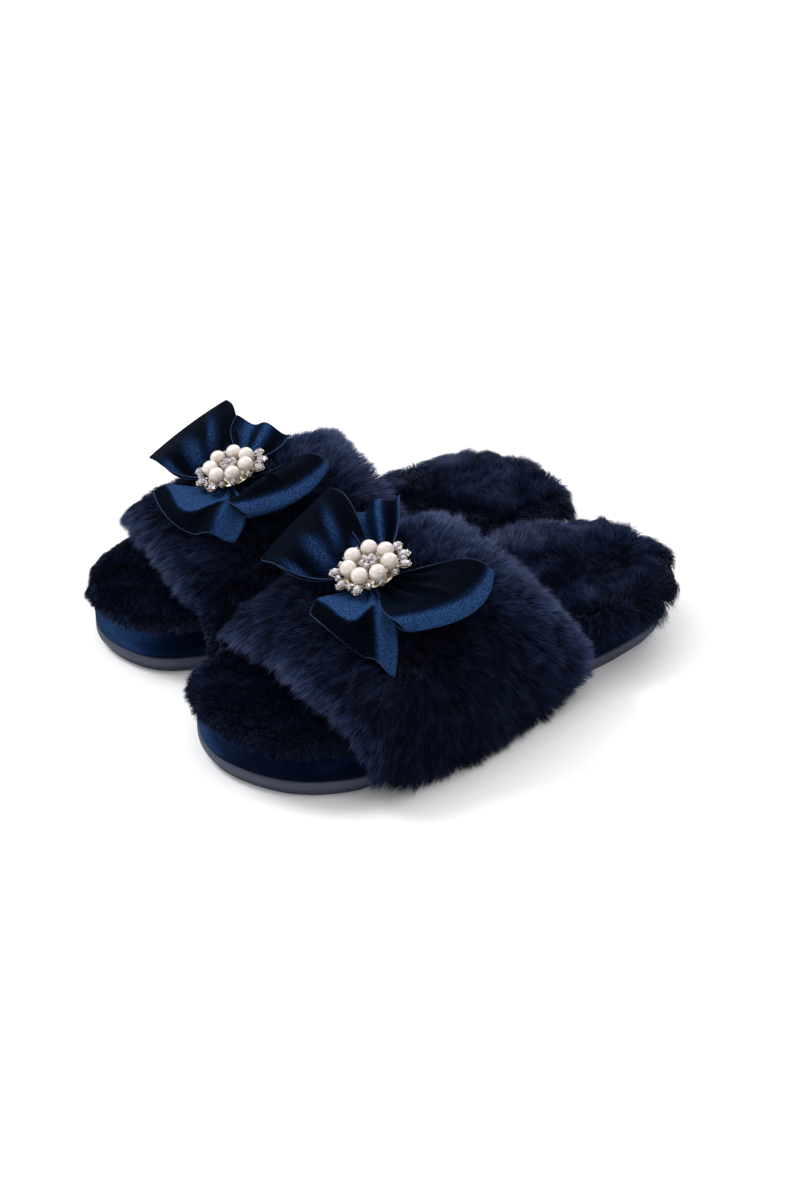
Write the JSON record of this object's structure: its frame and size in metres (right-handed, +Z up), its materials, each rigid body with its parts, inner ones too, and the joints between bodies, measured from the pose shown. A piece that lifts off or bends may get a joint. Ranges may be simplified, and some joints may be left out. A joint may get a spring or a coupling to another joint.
{
  "type": "pair of spa slippers",
  "caption": "Pair of open-toe spa slippers with a furry footbed, a wide fur band, a velvet bow and a pearl and crystal brooch on a rubber-soled platform.",
  "frame": {"origin": "on the floor, at the centre of the bounding box, midway between the two slippers", "axes": "+Z up, -Y towards the toes, +X towards the wearer's left"},
  "size_m": [0.2504, 0.266, 0.0954],
  "materials": {
    "outsole_rubber": "moulded, matt, slate navy",
    "midsole_foam": "closed-cell foam, cut",
    "platform_velvet": "short-pile velvet, royal navy",
    "insole_fibreboard": "pressed fibre, raw",
    "footbed_foam": "soft open-cell foam",
    "footbed_plush": "dense plush pile, dark navy",
    "band_plush": "short plush lining, dark navy",
    "band_interlining": "thin foam-backed cloth",
    "band_fur": "long faux fur, dark navy with greyish tips",
    "bow_velvet": "velvet ribbon with a bright woven edge",
    "bow_felt": "pressed felt",
    "brooch_metal": "pale gold plate, polished",
    "pearl": "ivory pearl lustre",
    "crystal": "clear cut stone, faint rose tint"
  },
  "bodies": {
    "left_slipper": {"left_outsole": "outsole_rubber", "left_midsole": "midsole_foam", "left_platform_cover": "platform_velvet", "left_insole_board": "insole_fibreboard", "left_footbed_foam": "footbed_foam", "left_footbed_fur": "footbed_plush", "left_band_lining": "band_plush", "left_band_interlining": "band_interlining", "left_band_fur": "band_fur", "left_bow_pad": "bow_felt", "left_bow_knot": "bow_velvet", "left_brooch_plate": "brooch_metal", "left_centre_crystal": "crystal", "left_pearl_1": "pearl", "left_pearl_2": "pearl", "left_pearl_3": "pearl", "left_pearl_4": "pearl", "left_pearl_5": "pearl", "left_pearl_6": "pearl", "left_pearl_7": "pearl", "left_outer_crystal_1": "crystal", "left_outer_crystal_2": "crystal", "left_outer_crystal_3": "crystal", "left_outer_crystal_4": "crystal", "left_outer_crystal_5": "crystal", "left_outer_crystal_6": "crystal"},
    "left_bow_right_loop_flap": {"left_bow_right_loop": "bow_velvet"},
    "left_bow_left_loop_flap": {"left_bow_left_loop": "bow_velvet"},
    "left_bow_front_tail_flap": {"left_bow_front_tail": "bow_velvet"},
    "left_bow_rear_tail_flap": {"left_bow_rear_tail": "bow_velvet"},
    "right_slipper": {"right_outsole": "outsole_rubber", "right_midsole": "midsole_foam", "right_platform_cover": "platform_velvet", "right_insole_board": "insole_fibreboard", "right_footbed_foam": "footbed_foam", "right_footbed_fur": "footbed_plush", "right_band_lining": "band_plush", "right_band_interlining": "band_interlining", "right_band_fur": "band_fur", "right_bow_pad": "bow_felt", "right_bow_knot": "bow_velvet", "right_brooch_plate": "brooch_metal", "right_centre_crystal": "crystal", "right_pearl_1": "pearl", "right_pearl_2": "pearl", "right_pearl_3": "pearl", "right_pearl_4": "pearl", "right_pearl_5": "pearl", "right_pearl_6": "pearl", "right_pearl_7": "pearl", "right_outer_crystal_1": "crystal", "right_outer_crystal_2": "crystal", "right_outer_crystal_3": "crystal", "right_outer_crystal_4": "crystal", "right_outer_crystal_5": "crystal", "right_outer_crystal_6": "crystal"},
    "right_bow_right_loop_flap": {"right_bow_right_loop": "bow_velvet"},
    "right_bow_left_loop_flap": {"right_bow_left_loop": "bow_velvet"},
    "right_bow_front_tail_flap": {"right_bow_front_tail": "bow_velvet"},
    "right_bow_rear_tail_flap": {"right_bow_rear_tail": "bow_velvet"}
  },
  "joints": [
    {"name": "right_slipper_lift", "type": "slide", "parent": "left_slipper", "child": "right_slipper", "axis": [0, 0, 1], "range_m": [0, 0.15]},
    {"name": "left_bow_right_loop_flex", "type": "hinge", "parent": "left_slipper", "child": "left_bow_right_loop_flap", "pos_m": [0.05308, -0.04698, 0.07329], "axis": [-0.0902, 0.9548, 0.2833], "range_deg": [0, 14], "stiffness_Nm_per_rad": 0.03},
    {"name": "left_bow_left_loop_flex", "type": "hinge", "parent": "left_slipper", "child": "left_bow_left_loop_flap", "pos_m": [0.07122, -0.0434, 0.07384], "axis": [0.2953, -0.9143, -0.2771], "range_deg": [0, 14], "stiffness_Nm_per_rad": 0.03},
    {"name": "left_bow_front_tail_flex", "type": "hinge", "parent": "left_slipper", "child": "left_bow_front_tail_flap", "pos_m": [0.06821, -0.05297, 0.07111], "axis": [-0.7749, -0.6119, -0.1584], "range_deg": [0, 14], "stiffness_Nm_per_rad": 0.03},
    {"name": "left_bow_rear_tail_flex", "type": "hinge", "parent": "left_slipper", "child": "left_bow_rear_tail_flap", "pos_m": [0.05563, -0.03997, 0.07528], "axis": [0.6921, 0.6974, 0.1859], "range_deg": [0, 12], "stiffness_Nm_per_rad": 0.03},
    {"name": "right_bow_right_loop_flex", "type": "hinge", "parent": "right_slipper", "child": "right_bow_right_loop_flap", "pos_m": [-0.07213, -0.05089, 0.07159], "axis": [0.0901, 0.9528, 0.29], "range_deg": [0, 14], "stiffness_Nm_per_rad": 0.03},
    {"name": "right_bow_left_loop_flex", "type": "hinge", "parent": "right_slipper", "child": "right_bow_left_loop_flap", "pos_m": [-0.05364, -0.05078, 0.07215], "axis": [0.1189, -0.9515, -0.2837], "range_deg": [0, 14], "stiffness_Nm_per_rad": 0.03},
    {"name": "right_bow_front_tail_flex", "type": "hinge", "parent": "right_slipper", "child": "right_bow_front_tail_flap", "pos_m": [-0.05839, -0.0596, 0.06935], "axis": [-0.8757, -0.4548, -0.1622], "range_deg": [0, 14], "stiffness_Nm_per_rad": 0.03},
    {"name": "right_bow_rear_tail_flex", "type": "hinge", "parent": "right_slipper", "child": "right_bow_rear_tail_flap", "pos_m": [-0.06832, -0.04451, 0.07363], "axis": [0.8105, 0.5541, 0.1903], "range_deg": [0, 12], "stiffness_Nm_per_rad": 0.03}
  ]
}
